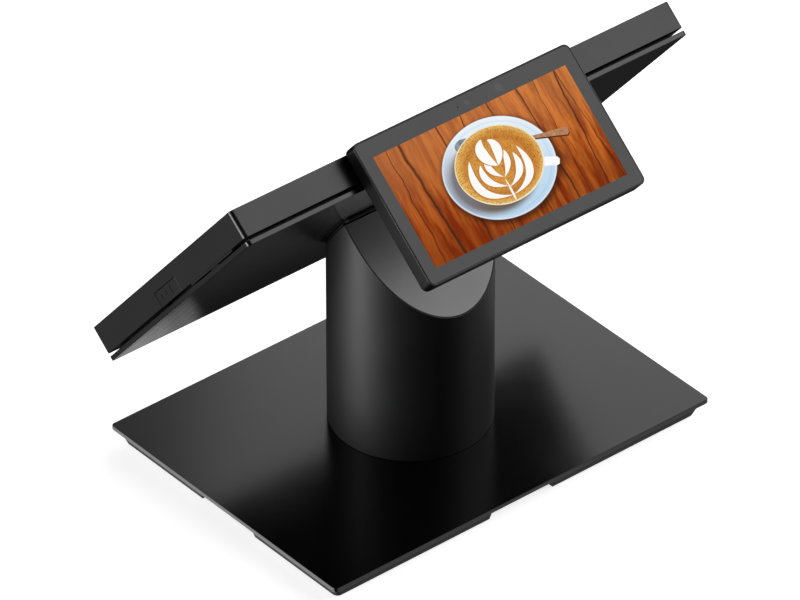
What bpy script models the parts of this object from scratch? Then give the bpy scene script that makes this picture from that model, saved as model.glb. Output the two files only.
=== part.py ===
"""Point-of-sale touchscreen terminal: a tilting touch head with a second customer display, on a round
column that swivels on a flat base. Metres, +Z up, -Y towards the operator, +Y towards the customer.

Every piece is modelled in the frame of the body that carries it, and each of those frames is an empty:
base and column at the swivel axis, head at the tilt axis along the roof ridge of the column, with +Y up
the face of the head and +Z out of it towards the operator, and customer display at its own hinge."""

import math

import bmesh
import bpy
from mathutils import Matrix

MM = 0.001
GAP = 0.3 * MM

# Base: a steel plate on a tapered tray, which stands on four rubber feet.
BASE_W = 295.4 * MM
BASE_D = 213.6 * MM
BASE_TOP = 14.0 * MM
PLATE_T = 3.0 * MM
PLATE_CORNER = 2.6 * MM
TRAY_BOTTOM = 1.4 * MM
TRAY_INSET_TOP = 2.7 * MM
TRAY_INSET_BOTTOM = 5.9 * MM
TRAY_CAVITY_INSET = 9.2 * MM
TRAY_FLOOR = 2.0 * MM
NOTCH_W = 50.0 * MM
NOTCH_DEPTH = 16.0 * MM
NOTCH_SHIFT_X = -2.4 * MM
NOTCH_SHIFT_Y = -1.0 * MM
FOOT_R = 8.0 * MM
FOOT_T = 1.1 * MM
FOOT_INSET = 24.0 * MM
SCREW_X = 95.0 * MM
SCREW_INSET_Y = 26.0 * MM
SCREW_HOLE_R = 2.1 * MM
BOSS_R = 6.0 * MM

# The swivel axis stands a little to the operator's side, so that the origin is under the middle.
STAND_Y = -5.93 * MM

# Column: a tube with a roof of two slopes, which meet in a ridge along X.
COLUMN_R = 50.9 * MM
COLUMN_WALL = 2.5 * MM
COLUMN_LIP = 0.4 * MM
ROOF_SLOPE = math.radians(50)
RIDGE_Z = 175.95 * MM
ROOF_COVER_T = 2.5 * MM
SPINDLE_R = 10.0 * MM
SPINDLE_BORE_R = 7.0 * MM
MAST_W = 30.0 * MM
MAST_TOP = 117.7 * MM

# Tilt hinge, just under the ridge.
TILT_AXIS_DROP = 0.95 * MM
TILT_PIN_R = 2.0 * MM
TILT_KNUCKLE_R = 4.8 * MM
TILT_KNUCKLE_X = (8.4 * MM, 10.0 * MM, 19.5 * MM)
HINGE_SLOT_X = 20.4 * MM

# Head: housing, shadow gap and rear cover, counted from the front face backwards.
HEAD_W = 338.6 * MM
HEAD_H = 207.0 * MM
HEAD_TILT = math.radians(50)
HEAD_TOP = 91.1 * MM
HEAD_BACK = 2.85 * MM
BODY_T = 18.1 * MM
SHADOW_GAP = 2.1 * MM
COVER_T = 3.0 * MM
HEAD_CORNER = 3.0 * MM
HEAD_WALL = 3.0 * MM
HEAD_FLOOR = 2.0 * MM
GLASS_RIM = 1.2 * MM
GLASS_T = 1.3 * MM
SPACER_INSET = 6.5 * MM

# Covered port in the right-hand side of the head, measured down from the top edge.
PORT_TOP = 92.0 * MM
PORT_BOTTOM = 122.0 * MM
PORT_DEPTH = 8.2 * MM
PORT_COVER_T = 2.2 * MM
GRIP_LENGTHS = (3.0 * MM, 4.0 * MM, 5.0 * MM)
GRIP_PITCH = 6.4 * MM
GRIP_MIDDLE = 108.5 * MM
GRIP_HEIGHT = 5.2 * MM
GRIP_DEPTH = 0.4 * MM

# Filled stretch of the shadow gap on that side, and the tab that bridges it.
STRIP_TOP = 20.0 * MM
STRIP_BOTTOM = 80.0 * MM
STRIP_T = 1.2 * MM
TAB_TOP = 41.0 * MM
TAB_BOTTOM = 51.0 * MM

# Power button in the lower edge of the head.
BUTTON_X = -145.0 * MM
BUTTON_Z = 14.2 * MM
BUTTON_R = 2.6 * MM

# Customer display, square to the head: its back lies over the head's top edge.
DISPLAY_W = 166.4 * MM
DISPLAY_H = 95.8 * MM
DISPLAY_T = 10.9 * MM
DISPLAY_BACK = 92.95 * MM
DISPLAY_TOP_Z = 28.05 * MM
DISPLAY_CORNER = 4.0 * MM
DISPLAY_RIM = 0.8 * MM
DISPLAY_AXIS_Y = 86.0 * MM
DISPLAY_AXIS_Z = -5.2 * MM
DISPLAY_KNUCKLE_R = 4.2 * MM
DISPLAY_PIN_R = 1.6 * MM
DISPLAY_KNUCKLE_X = (11.7 * MM, 12.3 * MM, 20.0 * MM)
LENS_DROP = 6.7 * MM
MICROPHONE_X = 6.0 * MM
MICROPHONE_R = 0.45 * MM
SENSORS = (
    ("customer_camera", -1.0 * MM, 3.1 * MM, 3.6 * MM),
    ("light_sensor", -25.5 * MM, 2.6 * MM, 1.2 * MM),
)

# Worked out from the above.
PLATE_BOTTOM = BASE_TOP - PLATE_T
TRAY_TOP = PLATE_BOTTOM - GAP
TILT_AXIS_Z = RIDGE_Z - TILT_AXIS_DROP
HEAD_FRONT = HEAD_BACK + COVER_T + SHADOW_GAP + BODY_T
HEAD_BOTTOM = HEAD_TOP - HEAD_H
HOUSING_BACK = HEAD_FRONT - BODY_T
COVER_FRONT = HEAD_BACK + COVER_T
SIDE = HEAD_W / 2
FAR = 400 * MM

parts = None
cutters = None


# ---------------------------------------------------------------- scene and materials


def clear_scene():
    for obj in list(bpy.data.objects):
        bpy.data.objects.remove(obj, do_unlink=True)


def make_collections():
    global parts, cutters
    parts = bpy.data.collections.new("pos_touchscreen_terminal")
    cutters = bpy.data.collections.new("cutters")
    cutters.hide_render = True
    for collection in (parts, cutters):
        bpy.context.scene.collection.children.link(collection)


def make_frame(name, location, parent=None, tilt=0.0):
    """An empty that carries one body."""
    frame = bpy.data.objects.new(name, None)
    frame.location = location
    frame.rotation_euler = (tilt, 0, 0)
    frame.parent = parent
    parts.objects.link(frame)
    return frame


def finish(obj, frame, colour, roughness, metallic=0.0):
    """Hangs a piece on its frame, gives it its own material and shades it smooth up to its edges."""
    obj.parent = frame
    material = bpy.data.materials.new(obj.name)
    material.use_nodes = True
    shader = material.node_tree.nodes["Principled BSDF"]
    shader.inputs["Base Color"].default_value = (*colour, 1)
    shader.inputs["Roughness"].default_value = roughness
    shader.inputs["Metallic"].default_value = metallic
    obj.data.materials.clear()
    obj.data.materials.append(material)
    obj.data.shade_smooth()
    obj.data.set_sharp_from_angle(angle=math.radians(35))
    return obj


BLACK = (0.018, 0.018, 0.019)
DARK = (0.03, 0.03, 0.032)
RUBBER = (0.02, 0.02, 0.02)
STEEL = (0.55, 0.55, 0.56)
BOARD = (0.02, 0.09, 0.05)
GLASS = (0.01, 0.01, 0.012)


# ---------------------------------------------------------------- shapes


def new_object(name, mesh, cutter=False):
    obj = bpy.data.objects.new(name, mesh)
    (cutters if cutter else parts).objects.link(obj)
    if cutter:
        obj.hide_render = True
        obj.display_type = "WIRE"
    return obj


def bevel_edges(bm, edges, width, segments):
    bmesh.ops.bevel(bm, geom=edges, offset=width, segments=segments, profile=0.5, affect="EDGES")


def along(edge, axis):
    """True for an edge that runs along the axis, 0 for X, 1 for Y and 2 for Z."""
    run = edge.verts[1].co - edge.verts[0].co
    return abs(run[axis]) > 0.999 * run.length


def block(name, low, high, axis=2, corner=0.0, edge=0.0, segments=5, cutter=False):
    """A box between two corners. Its edges along one axis take a corner radius, the others a bevel."""
    bm = bmesh.new()
    bmesh.ops.create_cube(bm, size=1)
    for vert in bm.verts:
        for i in range(3):
            vert.co[i] = low[i] if vert.co[i] < 0 else high[i]
    if corner:
        bevel_edges(bm, [e for e in bm.edges if along(e, axis)], corner, segments)
    if edge:
        ends = (low[axis], high[axis])
        rim = [
            e
            for e in bm.edges
            if any(all(abs(v.co[axis] - end) < 1e-6 for v in e.verts) for end in ends)
        ]
        bevel_edges(bm, rim, edge, 2)
    mesh = bpy.data.meshes.new(name)
    bm.to_mesh(mesh)
    bm.free()
    return new_object(name, mesh, cutter)


def cylinder(name, radius, low, high, centre=(0, 0), axis=2, segments=32, cutter=False):
    """A cylinder from low to high along an axis, through a centre given by its other two coordinates."""
    bm = bmesh.new()
    bmesh.ops.create_cone(
        bm, cap_ends=True, segments=segments, radius1=radius, radius2=radius, depth=high - low
    )
    turn = (Matrix.Rotation(math.pi / 2, 4, "Y"), Matrix.Rotation(-math.pi / 2, 4, "X"), Matrix())
    place = [0.0, 0.0, 0.0]
    place[axis] = (low + high) / 2
    for i, value in zip([i for i in range(3) if i != axis], centre):
        place[i] = value
    bmesh.ops.transform(bm, matrix=Matrix.Translation(place) @ turn[axis], verts=bm.verts)
    mesh = bpy.data.meshes.new(name)
    bm.to_mesh(mesh)
    bm.free()
    return new_object(name, mesh, cutter)


def several(name, boxes):
    """One cutter made of boxes that stay clear of each other."""
    bm = bmesh.new()
    for low, high in boxes:
        made = bmesh.ops.create_cube(bm, size=1)
        for vert in made["verts"]:
            for i in range(3):
                vert.co[i] = low[i] if vert.co[i] < 0 else high[i]
    mesh = bpy.data.meshes.new(name)
    bm.to_mesh(mesh)
    bm.free()
    return new_object(name, mesh, cutter=True)


def turned(name, profile, steps=48):
    """A turned piece. The profile is a closed loop of radius and height, outer side first, top down."""
    mesh = bpy.data.meshes.new(name)
    count = len(profile)
    mesh.from_pydata(
        [(radius, 0, height) for radius, height in profile],
        [(i, (i + 1) % count) for i in range(count)],
        [],
    )
    obj = new_object(name, mesh)
    screw = obj.modifiers.new("turn", "SCREW")
    screw.steps = steps
    screw.render_steps = steps
    screw.use_merge_vertices = True
    screw.merge_threshold = 0.00001
    return obj


def ring(name, inner, outer, low, high, steps=48):
    return turned(name, [(outer, high), (outer, low), (inner, low), (inner, high)], steps)


def combine(obj, other, operation):
    modifier = obj.modifiers.new(other.name, "BOOLEAN")
    modifier.operation = operation
    modifier.solver = "EXACT"
    modifier.object = other
    return obj


def cut(obj, *others):
    for other in others:
        combine(obj, other, "DIFFERENCE")
    return obj


def join(obj, *others):
    for other in others:
        combine(obj, other, "UNION")
    return obj


def box_cutter(name, low, high, **shape):
    return block(name, low, high, cutter=True, **shape)


def corners():
    """The signs of the four corners of the base."""
    return [(sx, sy) for sx in (-1, 1) for sy in (-1, 1)]


# ---------------------------------------------------------------- base


def make_base_plate(frame):
    half_w = BASE_W / 2
    half_d = BASE_D / 2
    plate = block(
        "base_plate",
        (-half_w, -half_d, PLATE_BOTTOM),
        (half_w, half_d, BASE_TOP),
        corner=PLATE_CORNER,
        edge=0.35 * MM,
    )
    hole_r = SPINDLE_R + 4 * MM
    cut(plate, cylinder("cut_plate_centre", hole_r, 0, FAR, segments=48, cutter=True))
    for i, (sx, sy) in enumerate(corners()):
        place = screw_place(sx, sy)
        cut(plate, screw_hole(f"cut_plate_screw_{i}", PLATE_BOTTOM + 1.9 * MM, place))
    return finish(plate, frame, BLACK, 0.42, 0.3)


def screw_place(sx, sy):
    return (sx * SCREW_X, sy * (BASE_D / 2 - SCREW_INSET_Y))


def screw_hole(name, high, place):
    return cylinder(name, SCREW_HOLE_R, 0, high, place, segments=16, cutter=True)


def make_base_tray(frame):
    """A shallow tray whose sides lean in towards the table, with a cable notch in each side."""
    half_w = BASE_W / 2 - TRAY_INSET_TOP
    half_d = BASE_D / 2 - TRAY_INSET_TOP
    tray = block(
        "base_tray",
        (-half_w, -half_d, TRAY_BOTTOM),
        (half_w, half_d, TRAY_TOP),
        corner=4 * MM,
        segments=4,
    )
    lean = TRAY_INSET_BOTTOM - TRAY_INSET_TOP
    bm = bmesh.new()
    bm.from_mesh(tray.data)
    bottom = [v for v in bm.verts if v.co.z < TRAY_BOTTOM + GAP]
    for vert in bottom:
        vert.co.x *= (half_w - lean) / half_w
        vert.co.y *= (half_d - lean) / half_d
    rim = [e for e in bm.edges if all(v in bottom for v in e.verts)]
    bevel_edges(bm, rim, 0.9 * MM, 2)
    bm.to_mesh(tray.data)
    bm.free()

    inner_w = BASE_W / 2 - TRAY_CAVITY_INSET
    inner_d = BASE_D / 2 - TRAY_CAVITY_INSET
    floor = TRAY_BOTTOM + TRAY_FLOOR
    cut(tray, box_cutter("cut_tray", (-inner_w, -inner_d, floor), (inner_w, inner_d, FAR)))
    for i, (sx, sy) in enumerate(corners()):
        place = screw_place(sx, sy)
        boss = cylinder(f"boss_{i}", BOSS_R, floor - 1 * MM, TRAY_TOP, place, segments=20, cutter=True)
        join(tray, boss)
    for i, (sx, sy) in enumerate(corners()):
        place = screw_place(sx, sy)
        cut(
            tray,
            screw_hole(f"cut_shank_{i}", FAR, place),
            cylinder(f"cut_head_{i}", 4.0 * MM, 0, 4.2 * MM, place, segments=20, cutter=True),
        )
    for side in (-1, 1):
        reach_x = sorted((side * (BASE_W / 2 - NOTCH_DEPTH), side * FAR))
        reach_y = sorted((side * (BASE_D / 2 - NOTCH_DEPTH), side * FAR))
        cut(
            tray,
            box_cutter(
                f"cut_notch_x_{side}",
                (reach_x[0], NOTCH_SHIFT_Y - NOTCH_W / 2, 0),
                (reach_x[1], NOTCH_SHIFT_Y + NOTCH_W / 2, FAR),
            ),
            box_cutter(
                f"cut_notch_y_{side}",
                (NOTCH_SHIFT_X - NOTCH_W / 2, reach_y[0], 0),
                (NOTCH_SHIFT_X + NOTCH_W / 2, reach_y[1], FAR),
            ),
        )
    return finish(tray, frame, DARK, 0.5)


def make_feet(frame):
    for sx, sy in corners():
        place = (sx * (BASE_W / 2 - FOOT_INSET), sy * (BASE_D / 2 - FOOT_INSET))
        name = "foot_" + ("right" if sx > 0 else "left") + ("_rear" if sy > 0 else "_front")
        foot = cylinder(name, FOOT_R, 0, FOOT_T, place, segments=32)
        finish(foot, frame, RUBBER, 0.85)


def make_base_screws(frame):
    for i, (sx, sy) in enumerate(corners()):
        place = screw_place(sx, sy)
        tip = PLATE_BOTTOM + 1.5 * MM
        screw = cylinder(f"base_screw_{i + 1}", 1.6 * MM, 2.5 * MM, tip, place, segments=16)
        head = cylinder(f"screw_head_{i}", 3.4 * MM, 1.8 * MM, 3.8 * MM, place, segments=20, cutter=True)
        socket = cylinder(f"cut_socket_{i}", 1.3 * MM, 0, 3.0 * MM, place, segments=6, cutter=True)
        join(screw, head)
        cut(screw, socket)
        finish(screw, frame, STEEL, 0.35, 1.0)


def make_swivel(frame):
    """The bush in the plate, on which the column turns, and the washer that its nut rubs on."""
    outer = SPINDLE_R + 3.7 * MM
    inner = SPINDLE_R + GAP
    flange = outer + 4.0 * MM
    low = PLATE_BOTTOM - 2.3 * MM
    bush = turned(
        "swivel_bush",
        [
            (outer, BASE_TOP),
            (outer, PLATE_BOTTOM - GAP),
            (flange, PLATE_BOTTOM - GAP),
            (flange, low),
            (inner, low),
            (inner, BASE_TOP),
        ],
        32,
    )
    finish(bush, frame, (0.6, 0.58, 0.5), 0.5)
    washer = ring("swivel_washer", inner, flange - 1 * MM, low - GAP - 1.0 * MM, low - GAP, 32)
    finish(washer, frame, STEEL, 0.3, 1.0)
    return low - 2 * GAP - 1.0 * MM


# ---------------------------------------------------------------- column


def roof_prism(name, drop=0.0):
    """A cutter that fills everything under the roof, or under a roof that lies deeper by drop."""
    bm = bmesh.new()
    bmesh.ops.create_cube(bm, size=2 * FAR)
    top = (0, 0, RIDGE_Z - drop / math.cos(ROOF_SLOPE))
    for side in (-1, 1):
        bmesh.ops.bisect_plane(
            bm,
            geom=bm.verts[:] + bm.edges[:] + bm.faces[:],
            plane_co=top,
            plane_no=(0, side * math.sin(ROOF_SLOPE), math.cos(ROOF_SLOPE)),
            clear_outer=True,
        )
        bmesh.ops.holes_fill(bm, edges=[e for e in bm.edges if e.is_boundary])
    bmesh.ops.recalc_face_normals(bm, faces=bm.faces)
    mesh = bpy.data.meshes.new(name)
    bm.to_mesh(mesh)
    bm.free()
    return new_object(name, mesh, cutter=True)


def make_column_tube(frame):
    """The outer tube. A shallow step under the roof leaves a fine lip round the roof covers."""
    tube = cylinder("column_tube", COLUMN_R, BASE_TOP + GAP, 0.8 * FAR, segments=96)
    cut(tube, cylinder("cut_tube_inner", COLUMN_R - COLUMN_WALL, 0, FAR, segments=96, cutter=True))
    combine(tube, roof_prism("tube_roof"), "INTERSECT")
    step = cylinder("cut_step", COLUMN_R - COLUMN_LIP, 2 * BASE_TOP, 0.9 * FAR, segments=96, cutter=True)
    cut(tube, combine(step, roof_prism("step_roof", ROOF_COVER_T + GAP), "DIFFERENCE"))
    return finish(tube, frame, BLACK, 0.38, 0.4)


def make_roof_cover(frame, name, side):
    """A half-elliptic plate let into the tube, mitred at the ridge and slotted for the tilt hinge."""
    cover = cylinder(name, COLUMN_R - COLUMN_LIP - GAP, 2 * BASE_TOP, FAR, segments=96)
    combine(cover, roof_prism(f"cover_roof_{side}"), "INTERSECT")
    combine(cover, roof_prism(f"cover_under_{side}", ROOF_COVER_T), "DIFFERENCE")
    reach = sorted((side * GAP / 2, -side * FAR))
    cut(
        cover,
        box_cutter(f"cut_mitre_{side}", (-FAR, reach[0], 0), (FAR, reach[1], 2 * FAR)),
        box_cutter(f"cut_slot_{side}", (-HINGE_SLOT_X, -7 * MM, 0), (HINGE_SLOT_X, 7 * MM, 2 * FAR)),
    )
    return finish(cover, frame, BLACK, 0.4, 0.4)


def make_column_foot(frame, nut_top):
    """The disc that the tube stands round, with the hollow spindle through the base plate."""
    outer = COLUMN_R - COLUMN_WALL - GAP
    low = BASE_TOP + 0.4 * MM
    high = low + 4 * MM
    end = nut_top - 3.0 * MM
    foot = turned(
        "column_foot",
        [
            (outer, high),
            (outer, low),
            (SPINDLE_R, low),
            (SPINDLE_R, end),
            (SPINDLE_BORE_R, end),
            (SPINDLE_BORE_R, high),
        ],
        48,
    )
    finish(foot, frame, STEEL, 0.45, 1.0)
    nut = ring("spindle_nut", SPINDLE_R + GAP, SPINDLE_R + 6 * MM, nut_top - 2 * MM, nut_top)
    finish(nut, frame, STEEL, 0.35, 1.0)
    return high


def make_mast(frame, low):
    """A square tube from the foot disc up to the hinge bracket, which carries the head."""
    half = MAST_W / 2
    bottom = low + GAP
    mast = block(
        "column_mast", (-half, -half, bottom), (half, half, MAST_TOP), corner=3 * MM, segments=3
    )
    wall = 2 * MM
    inner = half - wall
    cut(mast, box_cutter("cut_mast", (-inner, -inner, 0), (inner, inner, FAR)))
    return finish(mast, frame, DARK, 0.45, 0.6)


def make_hinge_bracket(frame):
    """A cross plate on the mast with two posts, which end in the outer knuckles of the tilt hinge."""
    plate_z = MAST_TOP + GAP
    half_w = 40 * MM
    half_d = 14 * MM
    bracket = block("hinge_bracket", (-half_w, -half_d, plate_z), (half_w, half_d, plate_z + 4 * MM))
    near, far = TILT_KNUCKLE_X[1:]
    for side in (-1, 1):
        xs = sorted((side * near, side * far))
        radius = TILT_KNUCKLE_R
        join(
            bracket,
            box_cutter(f"post_{side}", (xs[0], -radius, plate_z + 2 * MM), (xs[1], radius, TILT_AXIS_Z)),
            cylinder(f"knuckle_{side}", radius, xs[0], xs[1], (0, TILT_AXIS_Z), 0, 32, cutter=True),
        )
    bore = cylinder("cut_bracket_bore", TILT_PIN_R + GAP, -FAR, FAR, (0, TILT_AXIS_Z), 0, 24, cutter=True)
    cable_hole = cylinder("cut_cable_hole", 6 * MM, 0, TILT_AXIS_Z - 20 * MM, segments=24, cutter=True)
    cut(bracket, bore, cable_hole)
    return finish(bracket, frame, STEEL, 0.4, 1.0)


def make_tilt_pin(frame):
    end = TILT_KNUCKLE_X[2] - GAP
    pin = cylinder("tilt_pin", TILT_PIN_R, -end, end, (0, TILT_AXIS_Z), 0, 24)
    finish(pin, frame, STEEL, 0.25, 1.0)
    for side, word in ((-1, "left"), (1, "right")):
        xs = sorted((side * (TILT_KNUCKLE_X[0] + GAP), side * (TILT_KNUCKLE_X[1] - GAP)))
        place = (0, TILT_AXIS_Z)
        washer = cylinder(f"tilt_washer_{word}", TILT_KNUCKLE_R - 0.4 * MM, xs[0], xs[1], place, 0, 28)
        hole_r = TILT_PIN_R + GAP
        cut(washer, cylinder(f"cut_washer_{word}", hole_r, -FAR, FAR, place, 0, 24, cutter=True))
        finish(washer, frame, STEEL, 0.3, 1.0)


# ---------------------------------------------------------------- head


def head_slab(name, inset, low, high, corner=0.0, edge=0.0, cutter=False):
    """A slab with the outline of the head, drawn in by an inset, between two depths."""
    return block(
        name,
        (-SIDE + inset, HEAD_BOTTOM + inset, low),
        (SIDE - inset, HEAD_TOP - inset, high),
        corner=corner,
        edge=edge,
        cutter=cutter,
    )


def make_head_housing(frame):
    """The deep tray of the head, open to the front, with the port opening in its right side."""
    housing = head_slab("head_housing", 0, HOUSING_BACK, HEAD_FRONT, HEAD_CORNER, 0.3 * MM)
    strip = box_cutter(
        "side_strip",
        (SIDE - 4 * MM, HEAD_TOP - STRIP_BOTTOM, HOUSING_BACK - STRIP_T),
        (SIDE - 0.35 * MM, HEAD_TOP - STRIP_TOP, HOUSING_BACK + 1 * MM),
    )
    join(housing, strip)
    cut(
        housing,
        head_slab("cut_cavity", HEAD_WALL, HOUSING_BACK + HEAD_FLOOR, FAR, 1.5 * MM, cutter=True),
        head_slab("cut_rebate", GLASS_RIM, HEAD_FRONT - GLASS_T - GAP, FAR, 1.8 * MM, cutter=True),
        box_cutter(
            "cut_port",
            (SIDE - 8 * MM, HEAD_TOP - PORT_BOTTOM, 0),
            (FAR, HEAD_TOP - PORT_TOP, HEAD_FRONT - PORT_DEPTH),
        ),
        cylinder("cut_button", BUTTON_R + GAP, -FAR, -80 * MM, (BUTTON_X, BUTTON_Z), 1, 24, cutter=True),
        several("cut_speaker_slots", speaker_slots()),
    )
    return finish(housing, frame, BLACK, 0.4)


def speaker_slots():
    """Two rows of slots in the lower edge of the head, one in front of each speaker."""
    slots = []
    width = 4.0 * MM
    pitch = 6.5 * MM
    for side in (-1, 1):
        for i in range(7):
            x = side * (70 * MM + i * pitch)
            low = (x - width / 2, HEAD_BOTTOM - 5 * MM, 13.6 * MM)
            high = (x + width / 2, HEAD_BOTTOM + 21 * MM, 14.8 * MM)
            slots.append((low, high))
    return slots


def make_touch_glass(frame):
    inset = GLASS_RIM + GAP
    glass = head_slab("touch_glass", inset, HEAD_FRONT - GLASS_T, HEAD_FRONT, 1.5 * MM, 0.15 * MM)
    return finish(glass, frame, GLASS, 0.08)


def make_head_inside(frame):
    """Display panel, middle frame, boards, heat sink, drive and speakers, stacked behind the glass."""
    panel_front = HEAD_FRONT - GLASS_T - 2 * GAP
    panel = block(
        "display_panel", (-161 * MM, -106 * MM, panel_front - 4 * MM), (161 * MM, 80 * MM, panel_front)
    )
    finish(panel, frame, (0.02, 0.02, 0.03), 0.3)

    mid_front = panel_front - 4 * MM - GAP
    mid = head_slab("middle_frame", HEAD_WALL + 0.8 * MM, mid_front - 1.5 * MM, mid_front, 2 * MM)
    window = box_cutter("cut_middle", (-140 * MM, -20 * MM, 0), (-90 * MM, 40 * MM, FAR))
    cut(mid, window)
    finish(mid, frame, STEEL, 0.4, 1.0)

    floor = HOUSING_BACK + HEAD_FLOOR
    board_top = floor + 3.2 * MM
    board = block(
        "main_board", (-110 * MM, -78 * MM, board_top - 1.6 * MM), (70 * MM, 60 * MM, board_top)
    )
    finish(board, frame, BOARD, 0.5)

    sink_low = board_top + GAP
    sink_high = mid_front - 1.5 * MM - GAP
    sink = block("heat_sink", (-65 * MM, -30 * MM, sink_low), (25 * MM, 40 * MM, sink_high))
    starts = [-63.2 * MM + i * 7.5 * MM for i in range(12)]
    slots = [((x, -FAR, sink_low + 1.5 * MM), (x + 4.2 * MM, FAR, FAR)) for x in starts]
    cut(sink, several("cut_fins", slots))
    finish(sink, frame, (0.7, 0.7, 0.72), 0.4, 1.0)

    drive = block(
        "storage_drive", (80 * MM, -40 * MM, floor + GAP), (140 * MM, 30 * MM, floor + 7 * MM)
    )
    finish(drive, frame, (0.4, 0.4, 0.42), 0.4, 0.8)

    for side, word in ((-1, "left"), (1, "right")):
        xs = sorted((side * 64 * MM, side * 116 * MM))
        speaker = block(
            f"speaker_{word}",
            (xs[0], HEAD_BOTTOM + HEAD_WALL + 0.8 * MM, floor + GAP),
            (xs[1], -90 * MM, floor + 8 * MM),
            corner=2 * MM,
            segments=2,
        )
        finish(speaker, frame, DARK, 0.6)


def make_port_block(frame):
    """The sockets behind the side cover."""
    floor = HOUSING_BACK + HEAD_FLOOR
    low_y = HEAD_TOP - PORT_BOTTOM + 1.5 * MM
    high_y = HEAD_TOP - PORT_TOP - 1.5 * MM
    face = SIDE - HEAD_WALL - 0.6 * MM
    block_top = HEAD_FRONT - PORT_DEPTH - 0.5 * MM
    ports = block("port_block", (face - 14 * MM, low_y, floor + GAP), (face, high_y, block_top))
    inner = face - 10 * MM
    sockets = [
        ((inner, low_y + 1.5 * MM, floor + 1.5 * MM), (FAR, low_y + 14.5 * MM, floor + 6.5 * MM)),
        ((inner, high_y - 10.5 * MM, floor + 2.2 * MM), (FAR, high_y - 1.5 * MM, floor + 5.4 * MM)),
    ]
    cut(ports, several("cut_sockets", sockets))
    return finish(ports, frame, STEEL, 0.35, 1.0)


def make_rear_spacer(frame):
    """The narrow ring that sets the rear cover off from the housing and makes the shadow gap."""
    low = COVER_FRONT + GAP
    high = HOUSING_BACK - GAP
    spacer = head_slab("rear_spacer", SPACER_INSET, low, high, 2 * MM)
    cut(spacer, head_slab("cut_spacer", SPACER_INSET + 14 * MM, 0, FAR, cutter=True))
    return finish(spacer, frame, (0.008, 0.008, 0.008), 0.6)


def make_rear_cover(frame):
    """The thin plate that closes the head at the back, with a window for the tilt hinge."""
    cover = head_slab("rear_cover", 0, HEAD_BACK, COVER_FRONT, HEAD_CORNER, 0.3 * MM)
    tab = box_cutter(
        "side_tab",
        (SIDE - 3.5 * MM, HEAD_TOP - TAB_BOTTOM, COVER_FRONT - 1 * MM),
        (SIDE - 0.35 * MM, HEAD_TOP - TAB_TOP, HOUSING_BACK - STRIP_T - GAP),
    )
    join(cover, tab)
    cut(cover, box_cutter("cut_window", (-21 * MM, -7 * MM, -FAR), (21 * MM, 6.5 * MM, FAR)))
    for side in (-1, 1):
        cut(cover, bracket_hole(f"cut_cover_hole_{side}", side))
    return finish(cover, frame, BLACK, 0.35, 0.4)


def make_tilt_plate(frame):
    """The plate on the back of the head with the middle knuckle. It is trimmed round to suit the column."""
    low = 1.25 * MM
    high = HEAD_BACK - GAP
    plate = block("tilt_plate", (-60 * MM, -74 * MM, low), (60 * MM, 6.1 * MM, high))
    trim = cylinder("tilt_plate_trim", COLUMN_R - 0.7 * MM, -FAR, FAR, segments=96, cutter=True)
    trim.data.transform(Matrix.Rotation(-HEAD_TILT, 4, "X"))
    trim.parent = frame
    combine(plate, trim, "INTERSECT")
    end = TILT_KNUCKLE_X[0]
    long_end = end + 1 * MM
    radius = TILT_KNUCKLE_R - 0.3 * MM
    knuckle = cylinder("plate_knuckle", radius, -long_end, long_end, (0, 0), 0, 32, cutter=True)
    join(plate, knuckle)
    for side in (-1, 1):
        xs = sorted((side * end, side * (HINGE_SLOT_X + GAP)))
        cut(plate, box_cutter(f"cut_tilt_{side}", (xs[0], -8 * MM, -FAR), (xs[1], 8 * MM, FAR)))
    cut(plate, cylinder("cut_tilt_bore", TILT_PIN_R + GAP, -FAR, FAR, (0, 0), 0, 24, cutter=True))
    return finish(plate, frame, STEEL, 0.4, 1.0)


def bracket_screw_place(side):
    return (side * 24 * MM, 64 * MM)


def bracket_hole(name, side):
    place = bracket_screw_place(side)
    return cylinder(name, 1.5 * MM, -FAR, HOUSING_BACK - GAP, place, segments=16, cutter=True)


def make_display_bracket(frame):
    """A foot on the rear cover with two arms, which hold the pin of the customer display."""
    high = HEAD_BACK - GAP
    low = high - 2 * MM
    near, far = DISPLAY_KNUCKLE_X[1:]
    reach = DISPLAY_AXIS_Y - DISPLAY_KNUCKLE_R
    bracket = block(
        "display_bracket",
        (-30 * MM, 52 * MM, low),
        (30 * MM, reach + 2 * MM, high),
        corner=2 * MM,
        segments=3,
    )
    for side in (-1, 1):
        xs = sorted((side * near, side * far))
        join(
            bracket,
            box_cutter(
                f"arm_{side}",
                (xs[0], reach, DISPLAY_AXIS_Z),
                (xs[1], DISPLAY_AXIS_Y + DISPLAY_KNUCKLE_R, high),
            ),
            cylinder(
                f"arm_knuckle_{side}",
                DISPLAY_KNUCKLE_R,
                xs[0],
                xs[1],
                (DISPLAY_AXIS_Y, DISPLAY_AXIS_Z),
                0,
                28,
                cutter=True,
            ),
        )
    place = (DISPLAY_AXIS_Y, DISPLAY_AXIS_Z)
    cut(bracket, cylinder("cut_arm_bore", DISPLAY_PIN_R + GAP, -FAR, FAR, place, 0, 20, cutter=True))
    for side in (-1, 1):
        cut(bracket, bracket_hole(f"cut_bracket_hole_{side}", side))
    finish(bracket, frame, DARK, 0.45, 0.5)

    for side, word in ((-1, "left"), (1, "right")):
        place = bracket_screw_place(side)
        seat = low - GAP
        screw = cylinder(
            f"bracket_screw_{word}", 1.2 * MM, seat - 0.7 * MM, COVER_FRONT - 0.2 * MM, place, segments=14
        )
        head = cylinder(
            f"screw_cap_{side}", 2.6 * MM, seat - 1.4 * MM, seat, place, segments=20, cutter=True
        )
        join(screw, head)
        finish(screw, frame, STEEL, 0.35, 1.0)


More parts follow.
